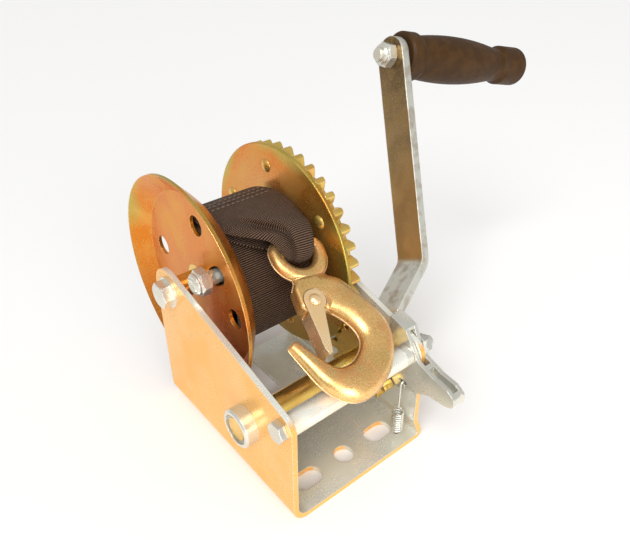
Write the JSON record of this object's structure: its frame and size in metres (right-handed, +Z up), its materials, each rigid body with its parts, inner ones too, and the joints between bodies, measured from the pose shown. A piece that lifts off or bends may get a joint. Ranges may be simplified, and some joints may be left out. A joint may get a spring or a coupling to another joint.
{
  "type": "hand winch",
  "caption": "Hand-cranked trailer winch: a geared strap drum in a bent steel frame, with a ratchet pawl, a cranked handle and a latched strap hook.",
  "frame": {"origin": "centre of the underside of the base plate", "axes": "+X along the drum axle towards the crank, +Y towards the back, +Z up"},
  "size_m": [0.2772, 0.1903, 0.1889],
  "materials": {
    "bright_zinc": "bright zinc plate",
    "yellow_zinc": "iridescent yellow zinc plate",
    "gold_zinc": "forged, light yellow zinc plate",
    "webbing": "woven polyester",
    "grip_plastic": "moulded, matte"
  },
  "bodies": {
    "frame": {"frame": "bright_zinc", "axle_bolt": "bright_zinc", "axle_nut": "bright_zinc", "axle_washers": "bright_zinc", "axle_spacer_left": "yellow_zinc", "axle_spacer_right": "yellow_zinc", "shaft_bush_left": "bright_zinc", "shaft_bush_right": "bright_zinc", "tie_tube": "bright_zinc", "tie_bolt": "bright_zinc", "tie_nut": "bright_zinc", "tie_washer": "bright_zinc", "pawl_bush_inner": "bright_zinc", "pawl_bush_outer": "bright_zinc", "pawl_spring": "bright_zinc"},
    "drum": {"drum_flange_left": "yellow_zinc", "drum_flange_right": "yellow_zinc", "drum_hub": "yellow_zinc", "ring_gear": "yellow_zinc", "gear_rivets": "yellow_zinc", "strap_bolt": "bright_zinc", "strap_bolt_nut": "bright_zinc", "strap_core": "webbing", "strap_roll": "webbing"},
    "crank": {"drive_shaft": "yellow_zinc", "pinion": "yellow_zinc", "ratchet_wheel": "yellow_zinc", "crank_spacer": "yellow_zinc", "crank_arm": "bright_zinc", "crank_washer": "bright_zinc", "crank_nut": "bright_zinc", "grip_bolt": "bright_zinc", "grip_nut": "bright_zinc", "grip_washer": "bright_zinc"},
    "grip": {"grip": "grip_plastic"},
    "pawl": {"pawl": "bright_zinc"},
    "tail": {"strap_tail": "webbing"},
    "hook": {"hook": "gold_zinc", "latch_rivet": "gold_zinc"},
    "latch": {"hook_latch": "gold_zinc"}
  },
  "joints": [
    {"name": "drum_spin", "type": "hinge", "parent": "frame", "child": "drum", "pos_m": [0, 0.0442, 0.085], "axis": [1, 0, 0], "continuous": true},
    {"name": "crank_spin", "type": "hinge", "parent": "frame", "child": "crank", "pos_m": [0, -0.02292, 0.0424], "axis": [1, 0, 0], "continuous": true},
    {"name": "grip_spin", "type": "hinge", "parent": "crank", "child": "grip", "pos_m": [0.1144, 0.05126, 0.17678], "axis": [0.9683, -0.1208, -0.2188], "continuous": true},
    {"name": "pawl_swing", "type": "hinge", "parent": "frame", "child": "pawl", "pos_m": [0, -0.0517, 0.0617], "axis": [1, 0, 0], "range_deg": [-4, 4], "stiffness_Nm_per_rad": 1},
    {"name": "tail_swing", "type": "hinge", "parent": "frame", "child": "tail", "pos_m": [0, 0.0442, 0.085], "axis": [-1, 0, 0], "range_deg": [0, 35]},
    {"name": "hook_swing", "type": "hinge", "parent": "tail", "child": "hook", "pos_m": [0.00759, 0.00736, 0.10994], "axis": [-0.9799, 0.1727, 0.0997], "range_deg": [0, 45]},
    {"name": "latch_swing", "type": "hinge", "parent": "hook", "child": "latch", "pos_m": [-0.0035, -0.02073, 0.09373], "axis": [0, -0.5, 0.866], "range_deg": [0, 25], "stiffness_Nm_per_rad": 0.05, "springref_deg": -22.92}
  ],
  "couplings": [
    {"joint": "crank_spin", "follows": "drum_spin", "ratio": -2.7857}
  ]
}
